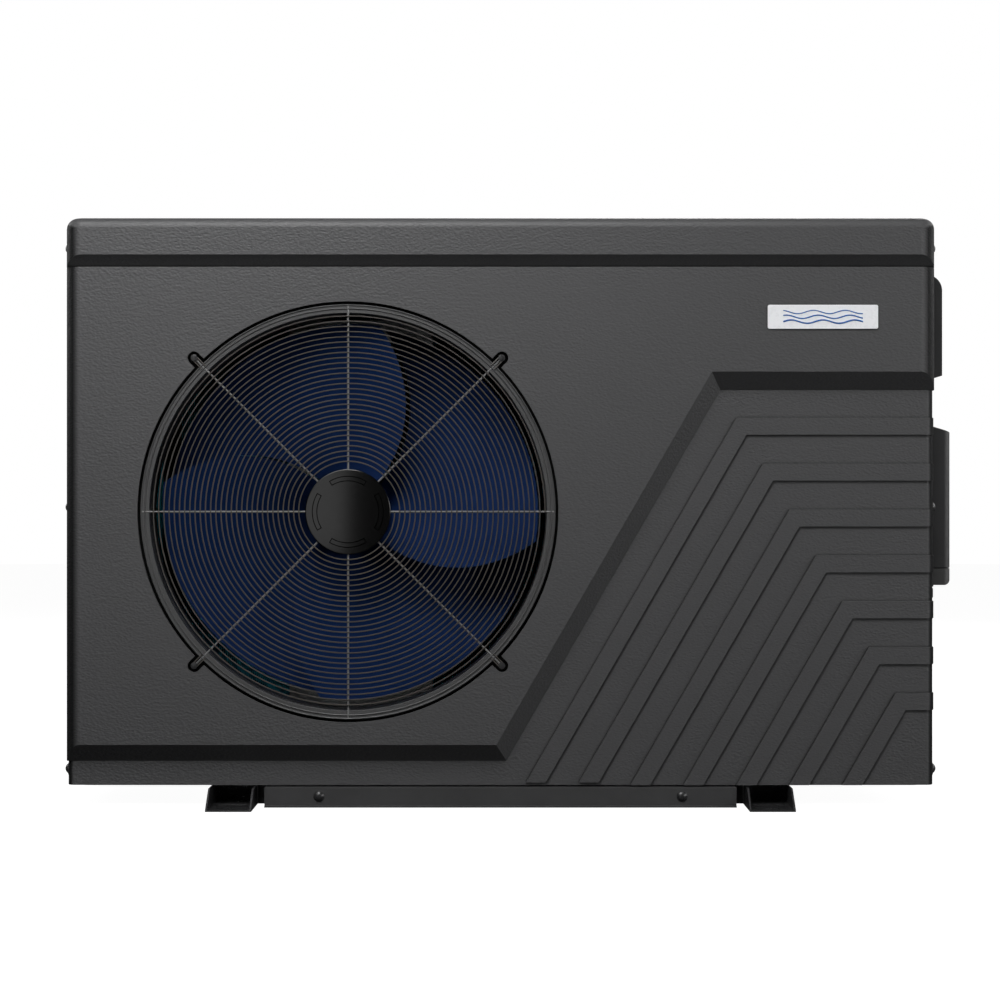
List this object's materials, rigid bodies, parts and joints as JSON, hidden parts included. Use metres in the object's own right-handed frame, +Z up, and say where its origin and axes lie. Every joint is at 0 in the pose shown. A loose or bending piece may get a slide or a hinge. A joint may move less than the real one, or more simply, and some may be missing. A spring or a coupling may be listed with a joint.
{
  "type": "pool heat pump",
  "caption": "Outdoor pool heat pump with a grained grey casing, stepped and ribbed front, round wire-guarded fan, slotted feet and rear water unions.",
  "frame": {"origin": "on the ground, at the centre of the four mounting slots in the feet", "axes": "+Z up, +X to the right seen from the fan side, the fan's front faces -Y"},
  "size_m": [0.9935, 0.441, 0.65],
  "materials": {
    "casing": "fine leather-like moulded grain, UV-stable ABS",
    "grille": "fine moulded grain",
    "galvanised": "galvanised sheet with faint spangle",
    "foot_paint": "gloss black powder coat",
    "beam_paint": "textured grey powder coat",
    "screw": "zinc-plated steel",
    "badge": "smooth printed plate",
    "guard_coat": "satin grey coated wire",
    "guard_cap": "satin moulded plastic",
    "inner_black": "satin black",
    "blade": "satin navy moulded plastic",
    "motor_paint": "satin black enamel",
    "coil_fin": "blue hydrophilic coated fins",
    "copper": "drawn copper tube",
    "brass": "machined brass",
    "compressor_paint": "black enamel over deep-drawn steel",
    "grommet": "moulded rubber",
    "exchanger_shell": "black rigid PVC",
    "union": "grey rigid PVC",
    "board": "solder-masked circuit board",
    "heatsink": "extruded aluminium",
    "terminal_case": "grained moulded plastic",
    "terminal_base": "grained moulded plastic",
    "flap": "smoked moulded plastic",
    "display": "dark display window",
    "key": "soft-touch keys"
  },
  "bodies": {
    "unit": {"front_panel": "casing", "top_cover": "casing", "right_side_panel": "casing", "left_side_grille": "grille", "rear_grille": "grille", "base_pan": "galvanised", "partition_plate": "galvanised", "motor_bracket": "galvanised", "electrical_box": "galvanised", "exchanger_stand": "galvanised", "left_foot": "foot_paint", "right_foot": "foot_paint", "front_beam": "beam_paint", "rear_beam": "beam_paint", "beam_screws": "screw", "casing_screws": "screw", "guard_screws": "screw", "motor_screws": "screw", "compressor_studs": "screw", "badge_plate": "badge", "fan_guard": "guard_coat", "guard_cap": "guard_cap", "fan_orifice": "inner_black", "fan_motor": "motor_paint", "evaporator_fins": "coil_fin", "evaporator_tubes": "copper", "discharge_pipe": "copper", "suction_pipe": "copper", "gas_pipe": "copper", "liquid_pipe": "copper", "coil_pipe": "copper", "four_way_valve": "brass", "expansion_valve": "brass", "compressor": "compressor_paint", "accumulator": "compressor_paint", "compressor_grommets": "grommet", "heat_exchanger": "exchanger_shell", "water_inlet_port": "union", "water_outlet_port": "union", "inlet_tailpiece": "union", "outlet_tailpiece": "union", "flow_switch": "inner_black", "control_board": "board", "board_heatsink": "heatsink", "terminal_cover": "terminal_case", "terminal_tray": "terminal_base", "terminal_block": "terminal_base", "cable_gland": "inner_black", "controller_housing": "terminal_case", "display_panel": "display"},
    "fan": {"fan_impeller": "blade", "fan_nut": "screw", "motor_shaft": "screw"},
    "inlet_nut": {"inlet_union_nut": "union"},
    "outlet_nut": {"outlet_union_nut": "union"},
    "flap": {"controller_flap": "flap"},
    "key_power": {"button_power": "key"},
    "key_mode": {"button_mode": "key"},
    "key_up": {"button_up": "key"},
    "key_down": {"button_down": "key"}
  },
  "joints": [
    {"name": "fan_spin", "type": "hinge", "parent": "unit", "child": "fan", "pos_m": [-0.1675, -0.1, 0.326], "axis": [0, 1, 0], "continuous": true},
    {"name": "inlet_nut_turn", "type": "hinge", "parent": "unit", "child": "inlet_nut", "pos_m": [0.375, 0.2, 0.13], "axis": [0, 1, 0], "continuous": true},
    {"name": "outlet_nut_turn", "type": "hinge", "parent": "unit", "child": "outlet_nut", "pos_m": [0.375, 0.2, 0.39], "axis": [0, 1, 0], "continuous": true},
    {"name": "flap_lift", "type": "hinge", "parent": "unit", "child": "flap", "pos_m": [0.4957, -0.055, 0.5795], "axis": [0, -1, 0], "range_deg": [0, 90]},
    {"name": "press_power", "type": "slide", "parent": "unit", "child": "key_power", "axis": [-1, 0, 0], "range_m": [0, 0.001], "stiffness_N_per_m": 250, "springref_m": -0.0005},
    {"name": "press_mode", "type": "slide", "parent": "unit", "child": "key_mode", "axis": [-1, 0, 0], "range_m": [0, 0.001], "stiffness_N_per_m": 250, "springref_m": -0.0005},
    {"name": "press_up", "type": "slide", "parent": "unit", "child": "key_up", "axis": [-1, 0, 0], "range_m": [0, 0.001], "stiffness_N_per_m": 250, "springref_m": -0.0005},
    {"name": "press_down", "type": "slide", "parent": "unit", "child": "key_down", "axis": [-1, 0, 0], "range_m": [0, 0.001], "stiffness_N_per_m": 250, "springref_m": -0.0005}
  ]
}
